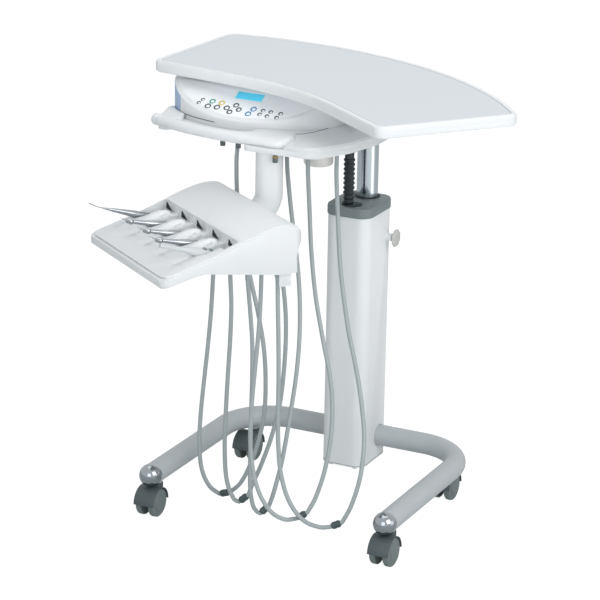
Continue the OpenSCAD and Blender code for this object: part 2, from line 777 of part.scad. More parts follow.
// ---- hoses: routes as lists of points, chosen by eye ----
function local_point(k, u, z) = let (x = trough_x[k] - arm_local[0], y = u - arm_local[1])
    [arm_x + x * cos(hold_turn) - y * sin(hold_turn), arm_y + x * sin(hold_turn) + y * cos(hold_turn), hold_z + z];

// From the instrument's tail down through the duct
function duct_route(k) = let (p = tool_pitch[k], t = [0.02, duct_turn_y(k) - tail_y[k]])
    concat([for (s = t) local_point(k, seat_u + (tail_y[k] + s) * cos(p), seat_z - (tail_y[k] + s) * sin(p))],
        [for (a = [p + 26:26:89]) local_point(k, duct_end_u - duct_bend + duct_bend * sin(a),
            duct_end_z(k) + duct_bend * cos(a))],
        [local_point(k, duct_end_u, duct_end_z(k) - 4)]);

lower_route = [
    [[-214, -265, 490], [-211, -279, 412], [-212, -289, 344], [-215, -300, 266], [-217, -311, 192],
        [-215, -320, 130], [-205, -328, 76], [-184, -333, 43]],
    [[-156, -301, 505], [-148, -310, 440], [-145, -320, 365], [-145, -329, 288], [-144, -338, 214],
        [-141, -347, 134], [-131, -355, 72], [-112, -360, 38]],
    [[-94, -343, 510], [-84, -350, 450], [-74, -359, 389], [-69, -367, 320], [-66, -375, 255],
        [-63, -382, 195], [-60, -389, 135], [-55, -396, 78], [-44, -400, 45]],
    [[-43, -384, 500], [-43, -391, 430], [-45, -400, 357], [-48, -408, 275], [-49, -411, 198],
        [-39, -415, 131], [-19, -421, 85], [7, -421, 54], [32, -411, 40]],
    [[12, -417, 500], [12, -412, 420], [11, -407, 345], [9, -403, 270], [9, -400, 195],
        [17, -400, 128], [39, -404, 76], [73, -408, 45], [106, -400, 34]]];
coupler_at = [[-147, -334, 35], [-91, -356, 42], [-25, -390, 43], [60, -391, 47], [137, -389, 42]];
coupler_dir = [[24, 1, 8], [18, 5, 17], [14, 9, 16], [20, 14, 13], [24, 9, 12]];
upper_route = [
    [[-114, -327, 61], [-96, -316, 105], [-85, -302, 155], [-80, -289, 210], [-86, -273, 275], [-99, -257, 338],
        [-120, -241, 400], [-148, -224, 470], [-178, -204, 550], [-202, -184, 630], [-216, -163, 700],
        [-219.5, -152, 730]],
    [[-75, -348, 74], [-62, -335, 115], [-49, -318, 170], [-39, -302, 235], [-40, -280, 315], [-50, -255, 400],
        [-68, -234, 472], [-97, -210, 555], [-129, -187, 635], [-154, -164, 700], [-163, -152.5, 731]],
    [[-12, -374, 80], [-3, -357, 145], [1, -330, 240], [0, -303, 320], [-8, -276, 397], [-23, -250, 474],
        [-46, -223, 553], [-70, -199, 625], [-94, -170, 695], [-105, -152.5, 731]],
    [[81, -370, 84], [92, -350, 145], [91, -322, 225], [75, -297, 304], [42, -271, 388], [12, -246, 467],
        [-13, -218, 550], [-33, -190, 635], [-51, -163, 702], [-56.5, -152, 731]],
    [[163, -374, 84], [173, -355, 145], [168, -331, 215], [151, -310, 275], [127, -288, 340],
        [94, -263, 420], [58, -228, 530], [31, -190, 635], [13, -162, 705], [8.5, -152, 731]]];
// The routes are drawn for these heights of the holder and the head, and follow them
route_hold_z = 600;
route_head_z = 765;
function raised(route, k) = [for (p = route) [p[0], p[1], p[2] * k]];
// A cord stops this far from a coupler's face and leaves it straight at first
coupler_gap = 0.3;
straight = 3;
function coupler_end(k, side, out) = coupler_at[k] + side * (coupler_l / 2 + out) * unit(coupler_dir[k]);
function lower_points(k) = concat(duct_route(k), raised(lower_route[k], hold_z / route_hold_z),
    [coupler_end(k, -1, straight), coupler_end(k, -1, coupler_gap)]);
function upper_points(k) = concat([coupler_end(k, 1, coupler_gap), coupler_end(k, 1, straight)],
    raised(upper_route[k], head_z / route_head_z),
    [[outlet_x[k], outlet_y, head_z - nipple_l - straight], [outlet_x[k], outlet_y, head_z - nipple_l]]);

function heading(p, i) = unit(p[min(i + 1, len(p) - 1)] - p[max(i - 1, 0)]);
// Side vectors carried along the run without twist
function sides(p) = [for (i = 0, v = unit(cross(heading(p, 0), [0.3, 0.5, 0.8])); i < len(p);
        i = i + 1, v = i < len(p) ? unit(v - heading(p, i) * (heading(p, i) * v)) : v) v];

module hose(p, sides_n = 8) {
    m = len(p);
    v = sides(p);
    rings = [for (i = [0:m - 1], j = [0:sides_n - 1]) let (a = j * 360 / sides_n)
        p[i] + hose_d / 2 * (v[i] * cos(a) + cross(heading(p, i), v[i]) * sin(a))];
    walls = [for (i = [0:m - 2], j = [0:sides_n - 1]) let (a = i * sides_n + j, b = i * sides_n + (j + 1) % sides_n)
        each [[a, a + sides_n, b], [b, a + sides_n, b + sides_n]]];
    ends = [[for (j = [0:sides_n - 1]) j], [for (j = [sides_n - 1:-1:0]) (m - 1) * sides_n + j]];
    polyhedron(rings, concat(walls, ends));
}

module hose_lower(k) color(grey) placed() hose(lower_points(k));
module hose_upper(k) color(grey) placed() hose(upper_points(k));
module hose_lower_1() hose_lower(0);
module hose_lower_2() hose_lower(1);
module hose_lower_3() hose_lower(2);
module hose_lower_4() hose_lower(3);
module hose_lower_5() hose_lower(4);
module hose_upper_1() hose_upper(0);
module hose_upper_2() hose_upper(1);
module hose_upper_3() hose_upper(2);
module hose_upper_4() hose_upper(3);
module hose_upper_5() hose_upper(4);

module hose_couplers() {
    color(dark) placed() for (k = [0:4]) let (d = unit(coupler_dir[k]))
        translate(coupler_at[k]) rotate([0, acos(d[2]), atan2(d[1], d[0])]) {
            cylinder(h = coupler_l, d = coupler_d, center = true);
        }
}

// ---- castors ----
hood_r = wheel_d / 2 + 3;
hood_in = wheel_d / 2 + 1.3;
web_w = 10;
axle_d = 8;
module castor() {
    axle_z = wheel_d / 2;
    boss_top = stem_z - 0.5;
    color(grey) {
        cylinder(h = stem_z + 22, d = stem_d);
        difference() {
            union() {
                intersection() {
                    translate([0, -trail, axle_z]) rotate([0, 90, 0]) cylinder(h = castor_w, r = hood_r, center = true);
                    translate([-50, -trail - 50, axle_z]) cube(100);
                }
                translate([0, 0, axle_z]) cylinder(h = boss_top - axle_z, d = stem_d + 14);
            }
            for (s = [-1, 1]) translate([s * (web_w / 2 + 50), -trail, axle_z]) rotate([0, 90, 0])
                cylinder(h = 100, r = hood_in, center = true);
            translate([0, -trail, axle_z]) rotate([0, 90, 0]) cylinder(h = 100, d = axle_d + run_fit, center = true);
        }
    }
}

module wheels() {
    tread = 2;
    hub = 17;
    inner = castor_w / 2 - wheel_w;
    color(pale) translate([0, -trail, wheel_d / 2]) {
        rotate([0, 90, 0]) cylinder(h = 2 * inner, d = axle_d, center = true);
        for (s = [-1, 1]) rotate([0, s * 90, 0]) {
            translate([0, 0, web_w / 2 + 0.3]) cylinder(h = inner - web_w / 2, r = axle_d);
            translate([0, 0, inner]) rotate_extrude() polygon([[0, 0], [wheel_d / 2 - tread, 0],
                [wheel_d / 2, tread], [wheel_d / 2, wheel_w - 2 * tread], [wheel_d / 2 - tread, wheel_w - tread],
                [hub + 1, wheel_w - tread], [hub, wheel_w - 0.5], [hub - 3, wheel_w], [0, wheel_w]]);
        }
    }
}
module front_stem(s) placed() translate([s * leg_x, stem_front_y, 0]) children();
module rear_stem(s) placed() translate([s * stem_rear_x, stem_rear_y, 0]) children();
module castor_fl() front_stem(-1) castor();
module castor_fr() front_stem(1) castor();
module castor_rl() rear_stem(-1) castor();
module castor_rr() rear_stem(1) castor();
module wheels_fl() front_stem(-1) wheels();
module wheels_fr() front_stem(1) wheels();
module wheels_rl() rear_stem(-1) wheels();
module wheels_rr() rear_stem(1) wheels();

// ---- plan offset: the origin lies under the middle of the whole unit ----
// The table reaches furthest to both sides and to the rear, and the holder to the front
table_edge = [for (p = table_pts(0)) [p[0] * cos(table_turn) - p[1] * sin(table_turn),
    mast_y + p[0] * sin(table_turn) + p[1] * cos(table_turn)]];
holder_corner = [22 + arm_local[0], 22 - arm_local[1]];
holder_front = arm_y - holder_corner[0] * sin(hold_turn) + holder_corner[1] * cos(hold_turn) - 22;
plan_x = round((max([for (p = table_edge) p[0]]) + min([for (p = table_edge) p[0]])) / 2);
plan_y = round((max([for (p = table_edge) p[1]]) + holder_front) / 2);
echo("plan offset", plan_x, plan_y);

base_tube();
ball_caps();
column_shell();
column_cap();
bottom_plate();
base_bolts();
upper_bush();
lower_bush();
lock_pad();
lock_knob();
mast_tube();
conduit();
conduit_collar();
head_hub();
under_pan();
console_cover();
rear_cover();
control_panel();
display();
panel_keys();
handle();
hose_nipples();
filter_cup();
flow_knob_1();
flow_knob_2();
flow_knob_3();
flow_knob_4();
table_frame();
table_inlay();
side_arm();
holder_body();
hose_bracket();
hose_couplers();
scaler();
scaler_tip();
handpiece_1();
handpiece_2();
handpiece_3();
syringe();
air_button();
water_button();
hose_upper_1();
hose_upper_2();
hose_upper_3();
hose_upper_4();
hose_upper_5();
hose_lower_1();
hose_lower_2();
hose_lower_3();
hose_lower_4();
hose_lower_5();
castor_fl();
castor_fr();
castor_rl();
castor_rr();
wheels_fl();
wheels_fr();
wheels_rl();
wheels_rr();
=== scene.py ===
"""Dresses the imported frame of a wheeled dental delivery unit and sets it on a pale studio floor."""

import json
import math

import bpy
from mathutils import Matrix, Vector


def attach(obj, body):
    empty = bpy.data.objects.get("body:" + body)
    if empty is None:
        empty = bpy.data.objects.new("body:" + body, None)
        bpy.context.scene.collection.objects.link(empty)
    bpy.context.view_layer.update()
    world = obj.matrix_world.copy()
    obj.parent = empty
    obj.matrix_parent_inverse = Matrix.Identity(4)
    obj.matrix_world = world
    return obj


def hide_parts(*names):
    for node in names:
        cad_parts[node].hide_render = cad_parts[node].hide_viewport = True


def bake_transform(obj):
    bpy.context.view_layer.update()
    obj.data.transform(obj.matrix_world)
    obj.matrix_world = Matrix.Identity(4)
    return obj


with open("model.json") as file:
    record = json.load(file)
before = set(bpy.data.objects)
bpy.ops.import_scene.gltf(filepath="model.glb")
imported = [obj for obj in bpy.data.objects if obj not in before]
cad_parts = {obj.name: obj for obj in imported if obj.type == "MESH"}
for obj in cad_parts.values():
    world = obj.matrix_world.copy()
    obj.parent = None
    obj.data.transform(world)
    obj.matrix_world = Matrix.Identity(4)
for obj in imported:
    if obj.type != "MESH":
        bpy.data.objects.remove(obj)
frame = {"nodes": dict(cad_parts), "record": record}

bl_info = {
    "name": "Dental Delivery Unit",
    "version": (1, 0, 0),
    "blender": (4, 5, 0),
    "location": "View3D > Sidebar > Dental Unit",
    "description": "Finishes the unit's pieces, hoses and stage on top of the packed frame",
    "category": "Object",
}

MM = 0.001
PLAN = Vector((18, 237, 0))  # from the base's crossbar to the frame's origin, in mm


def place(x, y, z):
    """A point given in mm from the middle of the base's crossbar, in the frame, in metres."""
    return (Vector((x, y, z)) + PLAN) * MM


# ---- sizes and colours that a user would change ----
class DentalUnitSettings(bpy.types.PropertyGroup):
    hose_diameter: bpy.props.FloatProperty(
        name="Hose diameter", description="Outer diameter of each handpiece hose",
        default=0.009, min=0.005, max=0.012, subtype="DISTANCE", unit="LENGTH")
    coupler_diameter: bpy.props.FloatProperty(
        name="Coupler diameter", description="Outer diameter of the coupler in each hose",
        default=0.015, min=0.012, max=0.02, subtype="DISTANCE", unit="LENGTH")
    edge_round: bpy.props.FloatProperty(
        name="Moulded edge radius", description="Width of the soft edge on moulded covers",
        default=0.0018, min=0.0005, max=0.004, subtype="DISTANCE", unit="LENGTH")
    cover_colour: bpy.props.StringProperty(
        name="Cover colour", description="sRGB hex colour of the moulded covers", default="#E9EBEC")
    paint_colour: bpy.props.StringProperty(
        name="Paint colour", description="sRGB hex colour of the powder coat", default="#F0F2F3")
    hose_colour: bpy.props.StringProperty(
        name="Hose colour", description="sRGB hex colour of the silicone hoses", default="#A9B1B2")


def settings():
    return bpy.context.scene.dental_unit


# ---- material helpers ----
def hex_colour(code):
    """sRGB hex, such as #E9EBEC, as the linear colour that a socket takes."""
    parts = [int(code[i:i + 2], 16) / 255 for i in (1, 3, 5)]
    return [p / 12.92 if p <= 0.04045 else ((p + 0.055) / 1.055) ** 2.4 for p in parts] + [1.0]


def add_node(tree, kind, links=None, **values):
    """Adds a node. Values set its sockets or its own settings, and links join its inputs to other sockets."""
    node = tree.nodes.new(kind)
    for key, value in values.items():
        name = key.replace("_", " ")
        if name in node.inputs:
            node.inputs[name].default_value = value
        else:
            setattr(node, key, value)
    for name, socket in (links or {}).items():
        tree.links.new(socket, node.inputs[name])
    return node


def finish(name, colour, roughness, metallic=0.0, grain=1.0, relief=0.02, cloud=0.03, coat=0.0,
           stretch=(1, 1, 1), glow=0.0):
    """A material with fine relief of the given grain in mm, and a slow drift of its colour and gloss.

    relief is the bump's depth in mm, cloud the share by which the colour drifts."""
    made = bpy.data.materials.get(name)
    if made:
        return made
    made = bpy.data.materials.new(name)
    made.use_nodes = True
    tree = made.node_tree
    shader = tree.nodes["Principled BSDF"]
    shader.inputs["Metallic"].default_value = metallic
    shader.inputs["Coat Weight"].default_value = coat
    if glow:
        shader.inputs["Emission Color"].default_value = hex_colour(colour)
        shader.inputs["Emission Strength"].default_value = glow
    spot = add_node(tree, "ShaderNodeTexCoord")
    sized = add_node(tree, "ShaderNodeMapping", {"Vector": spot.outputs["Object"]}, Scale=stretch)
    slow = add_node(tree, "ShaderNodeTexNoise", {"Vector": sized.outputs["Vector"]}, Scale=9.0, Detail=3.0)
    fine = add_node(tree, "ShaderNodeTexNoise", {"Vector": sized.outputs["Vector"]},
                    Scale=0.6 / (grain * MM), Detail=2.0)
    base = hex_colour(colour)
    tint = add_node(tree, "ShaderNodeValToRGB", {"Fac": slow.outputs["Fac"]})
    tint.color_ramp.elements[0].color = [c * (1 - cloud) for c in base[:3]] + [1]
    tint.color_ramp.elements[1].color = [min(1, c * (1 + cloud)) for c in base[:3]] + [1]
    gloss = add_node(tree, "ShaderNodeMapRange", {"Value": slow.outputs["Fac"]})
    gloss.inputs["To Min"].default_value = roughness * 0.88
    gloss.inputs["To Max"].default_value = min(1.0, roughness * 1.14)
    bump = add_node(tree, "ShaderNodeBump", {"Height": fine.outputs["Fac"]},
                    Distance=relief * MM, Strength=0.6)
    tree.links.new(tint.outputs["Color"], shader.inputs["Base Color"])
    tree.links.new(gloss.outputs["Result"], shader.inputs["Roughness"])
    tree.links.new(bump.outputs["Normal"], shader.inputs["Normal"])
    return made


# Powder coat on steel: satin, with a fine orange peel about 1.5 mm across
def powder_coat():
    return finish("powder_coated_steel", settings().paint_colour, 0.5, grain=1.5, relief=0.03)


# Powder coat of the floor tube: the same finish, greyer, with scuffs that dull its gloss
def base_paint():
    return finish("powder_coated_base", "#B9BEC0", 0.46, grain=1.5, relief=0.03, cloud=0.05)


# Moulded ABS: satin white, nearly smooth, with a soft sheen
def moulded_abs():
    return finish("moulded_abs", settings().cover_colour, 0.36, grain=0.8, relief=0.01, cloud=0.015)


# ABS rim of the table: the same plastic, glossier, and painted a little brighter than the covers as painted
# light on the rim
def rim_abs_painted_light():
    return finish("moulded_abs_rim_painted_light", "#F2F4F5", 0.30, grain=1.0, relief=0.01, cloud=0.015)


# Laminate table sheet: pale blue grey with a fine even grain
def laminate():
    return finish("melamine_laminate", "#DEE2E6", 0.48, grain=0.7, relief=0.02, cloud=0.02)


# Glass-filled nylon: mid grey, spark-eroded texture, used for the column cap
def nylon_grey():
    return finish("textured_nylon", "#7E888A", 0.55, grain=0.9, relief=0.05, cloud=0.04)


# Castor nylon: darker grey, smooth moulding
def castor_nylon():
    return finish("castor_nylon", "#4B5557", 0.50, grain=1.2, relief=0.03, cloud=0.05)


# Castor side discs: a lighter grey with a faint sheen
def castor_disc():
    return finish("castor_disc_nylon", "#6C7675", 0.42, grain=1.2, relief=0.02, cloud=0.04)


# Silicone hose: mid grey, matt, faintly dusty
def silicone():
    return finish("silicone_hose", settings().hose_colour, 0.46, grain=0.9, relief=0.02, cloud=0.05)


# Acetal coupler: dark slate, satin
def acetal():
    return finish("acetal_dark", "#465455", 0.40, grain=0.8, relief=0.02, cloud=0.05)


# Polypropylene conduit: near black with a blue cast and a soft shine on the ribs
def conduit_plastic():
    return finish("polypropylene_conduit", "#1F282B", 0.38, grain=0.7, relief=0.02, cloud=0.05)


# Rubber grommet: black and matt
def grommet_rubber():
    return finish("rubber_black", "#14181A", 0.6, grain=0.8, relief=0.03, cloud=0.08)


# Chrome plate: mirror bright
def chrome():
    return finish("chrome_plate", "#9AA0A4", 0.045, metallic=1.0, grain=8, relief=0.002, cloud=0.01)


# Ground and polished steel mast: bright with a faint blue cast
def ground_steel():
    return finish("ground_steel", "#CDD6DA", 0.16, metallic=1.0, grain=2, relief=0.004, cloud=0.02,
                  stretch=(1, 1, 0.05))


# Stainless handpieces: satin, brushed round the body
def stainless():
    return finish("satin_stainless", "#A4A9AD", 0.22, metallic=1.0, grain=0.5, relief=0.002, cloud=0.03)


# Steel screws: dull zinc plate
def zinc():
    return finish("zinc_plate", "#737A7D", 0.38, metallic=1.0, grain=0.8, relief=0.02, cloud=0.06)


# Polycarbonate cup: cream white, glossy
def cup_plastic():
    return finish("cup_polycarbonate", "#F0EDE8", 0.30, grain=1.0, relief=0.01, cloud=0.02)


# Polyester overlay film: pale, glossy, over the keys and the display
def overlay_film():
    return finish("polyester_film", "#F4F6F8", 0.22, grain=1.2, relief=0.008, cloud=0.01, coat=0.3)


# Display window: clear acrylic over a lit cyan panel
def display_window():
    return finish("lit_display", "#4CC4E4", 0.12, grain=4, relief=0.002, cloud=0.04, coat=0.5, glow=0.3)


# Side window of the console: pale blue translucent plastic
def blue_window():
    return finish("blue_lens", "#A9C4E6", 0.2, grain=2, relief=0.004, cloud=0.05, coat=0.3)


# Painted shade: matt black, for the plates in the cradle openings and the lines along gaps in the head, where
# shade falls
def painted_shade_black():
    return finish("painted_shade_black", "#0E1011", 0.65, grain=1.0, relief=0.02, cloud=0.1)


# Joint between two mouldings: grey and matt, darker than the parts on either side
def joint_grey():
    return finish("moulding_joint", "#7D8386", 0.7, grain=1.0, relief=0.02, cloud=0.1)


# Syringe shell: milky polycarbonate, satin
def syringe_shell():
    return finish("syringe_polycarbonate", "#CFD3D4", 0.3, grain=1.0, relief=0.01, cloud=0.02)


# Clamp knob nylon: pale warm grey, satin
def knob_nylon():
    return finish("knob_nylon", "#C9C9C4", 0.42, grain=1.0, relief=0.02)


# Brass valve tip: turned, satin
def brass():
    return finish("turned_brass", "#B8924A", 0.28, metallic=1.0, grain=0.5, relief=0.01, cloud=0.05)


def ring_ink(name, code):
    """Printed ring on a key, under the film."""
    return finish("ring_ink_" + name, code, 0.3, grain=1.0, relief=0.004, cloud=0.03)


# ---- modelling helpers ----
def select_only(obj):
    """Object mode with this object alone selected and active."""
    if bpy.context.object and bpy.context.object.mode != "OBJECT":
        bpy.ops.object.mode_set(mode="OBJECT")
    bpy.ops.object.select_all(action="DESELECT")
    obj.select_set(True)
    bpy.context.view_layer.objects.active = obj


def dress(obj, body, material):
    """Gives a piece its material and slot, and lets it ride on its body."""
    obj.data.materials.clear()
    obj.data.materials.append(material)
    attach(obj, body)
    return obj


def body_of(node):
    return next(b for b, names in frame["record"]["behaviour"]["bodies"].items() if node in names)


def soften(node, material, width=None, smooth=35, limit=32, segments=2, cutter=None, melt=None):
    """Copies a CAD node, merges its doubled points, rounds its sharp edges and lets the copy stand for it.

    cutter is cut away from it. melt, in metres, remeshes it at that size so that its forms flow together."""
    source = frame["nodes"][node]
    piece = bpy.data.objects.new(node + "_finished", source.data.copy())
    bpy.context.scene.collection.objects.link(piece)
    select_only(piece)
    bpy.ops.object.mode_set(mode="EDIT")
    bpy.ops.mesh.select_all(action="SELECT")
    bpy.ops.mesh.remove_doubles(threshold=2e-6)
    bpy.ops.mesh.dissolve_limited(angle_limit=math.radians(0.4))
    bpy.ops.object.mode_set(mode="OBJECT")
    if cutter:
        cut = piece.modifiers.new("recess", "BOOLEAN")
        cut.operation = "DIFFERENCE"
        cut.solver = "EXACT"
        cut.object = cutter
        bpy.ops.object.modifier_apply(modifier=cut.name)
        bpy.data.objects.remove(cutter)
    if melt:
        even = piece.modifiers.new("even_mesh", "REMESH")
        even.mode = "VOXEL"
        even.voxel_size = melt
        bpy.ops.object.modifier_apply(modifier=even.name)
        flow = piece.modifiers.new("flowing_form", "SMOOTH")
        flow.factor = 0.5
        flow.iterations = 12
        bpy.ops.object.modifier_apply(modifier=flow.name)
    if width:
        rounding = piece.modifiers.new("soft_edges", "BEVEL")
        rounding.width = width
        rounding.segments = segments
        rounding.limit_method = "ANGLE"
        rounding.angle_limit = math.radians(limit)
        rounding.use_clamp_overlap = True
        rounding.loop_slide = True
        bpy.ops.object.modifier_apply(modifier=rounding.name)
    if piece.data.has_custom_normals:
        bpy.ops.mesh.customdata_custom_splitnormals_clear()
    bpy.ops.object.shade_smooth_by_angle(angle=math.radians(smooth))
    dress(piece, body_of(node), material)
    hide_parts(node)
    return piece


def repaint(node, material):
    """A better material on a CAD node that stays as it is."""
    obj = frame["nodes"][node]
    obj.data.materials.clear()
    obj.data.materials.append(material)


def plate(name, outline, thick, corner, across, up):
    """A flat plate: a filled ring of points moved to the outline in mm, then given its thickness.

    across and up are the outline's directions, from the corner in metres."""
    bpy.ops.object.select_all(action="DESELECT")
    bpy.ops.mesh.primitive_circle_add(vertices=len(outline), radius=MM, fill_type="NGON")
    piece = bpy.context.object
    piece.name = name
    across, up = Vector(across).normalized(), Vector(up).normalized()
    for vertex, (a, b) in zip(piece.data.vertices, outline):
        vertex.co = Vector(corner) + (across * a + up * b) * MM
    bpy.ops.object.mode_set(mode="EDIT")
    bpy.ops.mesh.select_all(action="SELECT")
    shift = across.cross(up) * thick * MM
    bpy.ops.mesh.extrude_region_move(TRANSFORM_OT_translate={"value": shift})
    bpy.ops.mesh.select_all(action="SELECT")
    bpy.ops.mesh.normals_make_consistent(inside=False)
    bpy.ops.object.mode_set(mode="OBJECT")
    return piece


def joined(name, pieces):
    """Several pieces of one kind as one object."""
    select_only(pieces[0])
    for piece in pieces:
        piece.select_set(True)
    bpy.ops.object.join()
    whole = bpy.context.object
    whole.name = name
    return whole


def turned(name, profile, origin, axis, sides=48, wide=1.0, high=1.0):
    """A turned solid: a disc at the first radius, extruded and scaled through [radius, height] in mm."""
    bpy.ops.object.select_all(action="DESELECT")
    bpy.ops.mesh.primitive_circle_add(vertices=sides, radius=profile[0][0] * MM, fill_type="NGON",
                                      location=(0, 0, profile[0][1] * MM))
    piece = bpy.context.object
    piece.name = name
    bpy.ops.object.mode_set(mode="EDIT")
    bpy.ops.mesh.select_all(action="SELECT")
    for before, now in zip(profile, profile[1:]):
        bpy.ops.mesh.extrude_region_move(TRANSFORM_OT_translate={"value": (0, 0, (now[1] - before[1]) * MM)})
        grow = now[0] / before[0]
        bpy.ops.transform.resize(value=(grow, grow, 1), center_override=(0, 0, now[1] * MM))
    bpy.ops.mesh.select_all(action="SELECT")
    bpy.ops.mesh.normals_make_consistent(inside=False)
    bpy.ops.object.mode_set(mode="OBJECT")
    turn = Vector(axis).normalized().to_track_quat("Z", "Y").to_matrix().to_4x4()
    piece.matrix_world = (Matrix.Translation(Vector(origin)) @ turn @ Matrix.Diagonal((wide, high, 1, 1))
                          @ piece.matrix_world)
    select_only(piece)
    bpy.ops.object.transform_apply(location=True, rotation=True, scale=True)
    bpy.ops.object.shade_smooth_by_angle(angle=math.radians(35))
    return piece


# ---- hoses: the routes of the CAD solids, in mm from the middle of the base's crossbar ----
ARM = Vector((-96, -249, 0))
HOLD_TURN = math.radians(-35.5)
HOLD_Z = 600
ARM_LOCAL = Vector((-235, 352, 0))
TROUGH_X = [-328 + 70 * k for k in range(5)]
TOOL_PITCH = [math.radians(a) for a in (17, 13, 13, 13, 17)]
SEAT_U, SEAT_Z, TAIL_U = 100, 32, 168
DUCT_END_U, DUCT_BEND = 276, 40
DUCT_STEP = math.radians(13)
STRAIGHT = 12  # a hose leaves its instrument straight for this long
OUTLET_X = [-220, -164, -106, -57, 8]
OUTLET_Y, OUTLET_Z = -150, 749
COUPLER_L = 20
PAST_COUPLER = 1.3  # a hose runs straight out of its coupler to this many half lengths
LOWER_ROUTE = [
    [(-214, -265, 490), (-211, -279, 412), (-212, -289, 344), (-215, -300, 266), (-217, -311, 192),
     (-215, -320, 130), (-205, -328, 76), (-184, -333, 43)],
    [(-156, -301, 505), (-148, -310, 440), (-145, -320, 365), (-145, -329, 288), (-144, -338, 214),
     (-141, -347, 134), (-131, -355, 72), (-112, -360, 38)],
    [(-94, -343, 510), (-84, -350, 450), (-74, -359, 389), (-69, -367, 320), (-66, -375, 255),
     (-63, -382, 195), (-60, -389, 135), (-55, -396, 78), (-44, -400, 45)],
    [(-43, -384, 500), (-43, -391, 430), (-45, -400, 357), (-48, -408, 275), (-49, -411, 198),
     (-39, -415, 131), (-19, -421, 85), (7, -421, 54), (32, -411, 40)],
    [(12, -417, 500), (12, -412, 420), (11, -407, 345), (9, -403, 270), (9, -400, 195),
     (17, -400, 128), (39, -404, 76), (73, -408, 45), (106, -400, 34)]]
COUPLER_AT = [(-147, -334, 35), (-91, -356, 42), (-25, -390, 43), (60, -391, 47), (137, -389, 42)]
COUPLER_DIR = [(24, 1, 8), (18, 5, 17), (14, 9, 16), (20, 14, 13), (24, 9, 12)]
UPPER_ROUTE = [
    [(-114, -327, 61), (-96, -316, 105), (-85, -302, 155), (-80, -289, 210), (-86, -273, 275),
     (-99, -257, 338), (-120, -241, 400), (-148, -224, 470), (-178, -204, 550), (-202, -184, 630),
     (-216, -163, 700), (-219.5, -152, 730)],
    [(-75, -348, 74), (-62, -335, 115), (-49, -318, 170), (-39, -302, 235), (-40, -280, 315),
     (-50, -255, 400), (-68, -234, 472), (-97, -210, 555), (-129, -187, 635), (-154, -164, 700),
     (-163, -152.5, 731)],
    [(-12, -374, 80), (-3, -357, 145), (1, -330, 240), (0, -303, 320), (-8, -276, 397), (-23, -250, 474),
     (-46, -223, 553), (-70, -199, 625), (-94, -170, 695), (-105, -152.5, 731)],
    [(81, -370, 84), (92, -350, 145), (91, -322, 225), (75, -297, 304), (42, -271, 388), (12, -246, 467),
     (-13, -218, 550), (-33, -190, 635), (-51, -163, 702), (-56.5, -152, 731)],
    [(163, -374, 84), (173, -355, 145), (168, -331, 215), (151, -310, 275), (127, -288, 340),
     (94, -263, 420), (58, -228, 530), (31, -190, 635), (13, -162, 705), (8.5, -152, 731)]]


def holder_point(x, u, z):
    """A point in the holder's own directions, in mm, as mm from the middle of the base's crossbar."""
    flat = Vector((x, u, 0)) - ARM_LOCAL
    c, s = math.cos(HOLD_TURN), math.sin(HOLD_TURN)
    return ARM + Vector((flat.x * c - flat.y * s, flat.x * s + flat.y * c, HOLD_Z + z))


def in_holder(x, u, z):
    """The same point in the frame, in metres."""
    return place(*holder_point(x, u, z))


HOLD_ACROSS = Vector((math.cos(HOLD_TURN), math.sin(HOLD_TURN), 0))
HOLD_REAR = Vector((-math.sin(HOLD_TURN), math.cos(HOLD_TURN), 0))


def on_axis(k, along):
    """A point on instrument k's axis, that far behind the seat, in mm."""
    p = TOOL_PITCH[k]
    return holder_point(TROUGH_X[k], SEAT_U + along * math.cos(p), SEAT_Z - along * math.sin(p))


def tail_along(k):
    """Where instrument k ends, behind its seat."""
    return (TAIL_U - SEAT_U) / math.cos(TOOL_PITCH[k])


def coupler_end(k, side):
    """A point on coupler k's axis, that many half lengths from its middle."""
    return Vector(COUPLER_AT[k]) + Vector(COUPLER_DIR[k]).normalized() * side * COUPLER_L / 2


def duct_route(k):
    """From the instrument's tail back, and down through the well."""
    p = TOOL_PITCH[k]
    turn = (DUCT_END_U - DUCT_BEND + DUCT_BEND * math.sin(p) - SEAT_U) / math.cos(p)
    low = SEAT_Z - turn * math.sin(p) - DUCT_BEND * math.cos(p)
    points = [on_axis(k, tail_along(k)), on_axis(k, tail_along(k) + STRAIGHT), on_axis(k, turn)]
    angle = p + DUCT_STEP
    while angle < math.radians(89):
        points.append(holder_point(TROUGH_X[k], DUCT_END_U - DUCT_BEND + DUCT_BEND * math.sin(angle),
                                   low + DUCT_BEND * math.cos(angle)))
        angle += DUCT_STEP
    return points + [holder_point(TROUGH_X[k], DUCT_END_U, low - 4)]


def lower_points(k):
    return duct_route(k) + [Vector(p) for p in LOWER_ROUTE[k]] + [
        coupler_end(k, -PAST_COUPLER), coupler_end(k, -1)]


def upper_points(k):
    outlet = Vector((OUTLET_X[k], OUTLET_Y, OUTLET_Z))
    return ([coupler_end(k, 1), coupler_end(k, PAST_COUPLER)] + [Vector(p) for p in UPPER_ROUTE[k]]
            + [outlet - Vector((0, 0, 3)), outlet])


def smooth_path(points, step=7.0):
    """Points every few mm on one smooth curve through the route, in the frame, in metres."""
    dense = []
    last = len(points) - 1
    for i in range(last):
        a, b = points[i], points[i + 1]
        before, after = points[max(i - 1, 0)], points[min(i + 2, last)]
        span = (b - a).length
        lead = (b - before) * (span / max((a - before).length + span, 1e-6)) if i else b - a
        tail = (after - a) * (span / max((after - b).length + span, 1e-6)) if i + 1 < last else b - a
        count = max(1, round(span / step))
        for j in range(count):
            t = j / count
            dense.append(a * (2 * t ** 3 - 3 * t ** 2 + 1) + lead * (t ** 3 - 2 * t ** 2 + t)
                         + b * (3 * t ** 2 - 2 * t ** 3) + tail * (t ** 3 - t ** 2))
    dense.append(points[last])
    return [place(*p) for p in dense]


